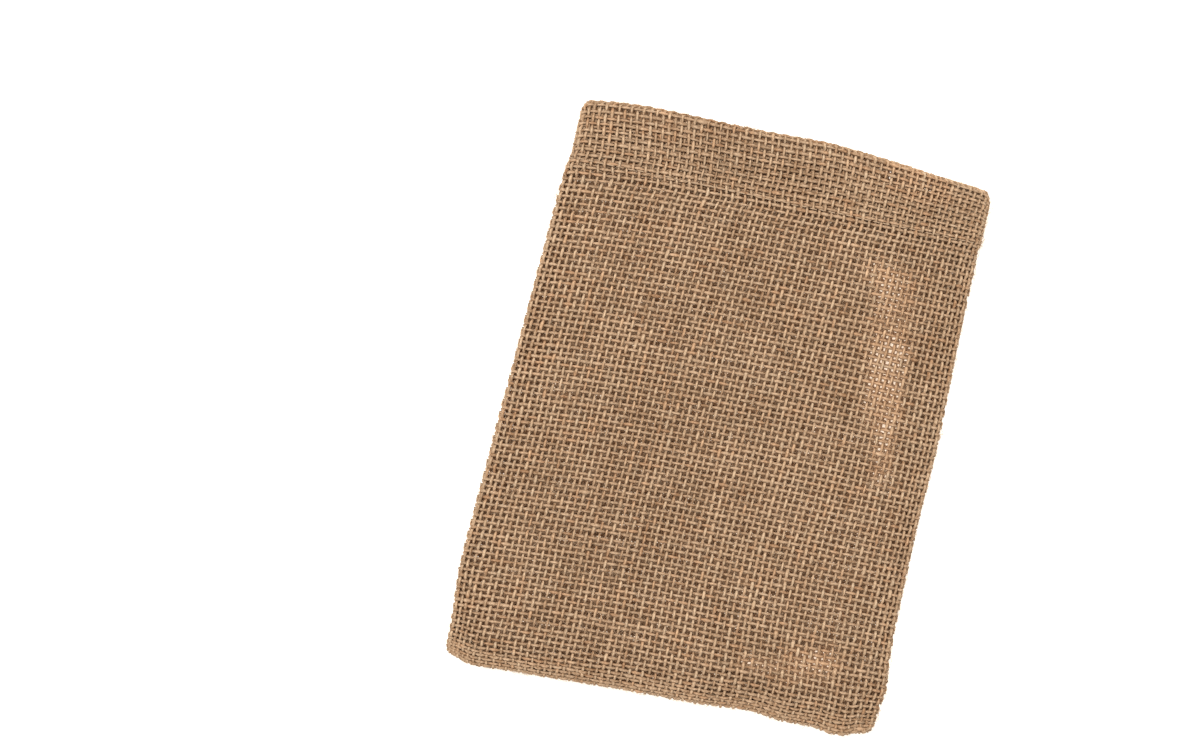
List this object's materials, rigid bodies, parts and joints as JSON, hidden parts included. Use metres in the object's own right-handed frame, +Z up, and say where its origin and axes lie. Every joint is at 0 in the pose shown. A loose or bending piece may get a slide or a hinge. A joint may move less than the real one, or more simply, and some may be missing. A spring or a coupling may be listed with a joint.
{
  "type": "jute pouch",
  "caption": "Flat rectangular pouch of coarse open-weave jute cloth, sewn at both sides and the bottom, with a wide turned-in hem and a slightly open mouth.",
  "frame": {"origin": "centre of the pouch's footprint, on the surface that it lies on", "axes": "+Y along the pouch towards its mouth, +X across it, +Z up out of its front face"},
  "size_m": [0.1568, 0.2068, 0.0098],
  "materials": {
    "jute_cloth": "coarse plain weave of undyed jute yarn, matt"
  },
  "bodies": {
    "root": {"front_panel": "jute_cloth", "back_panel": "jute_cloth"}
  },
  "joints": []
}
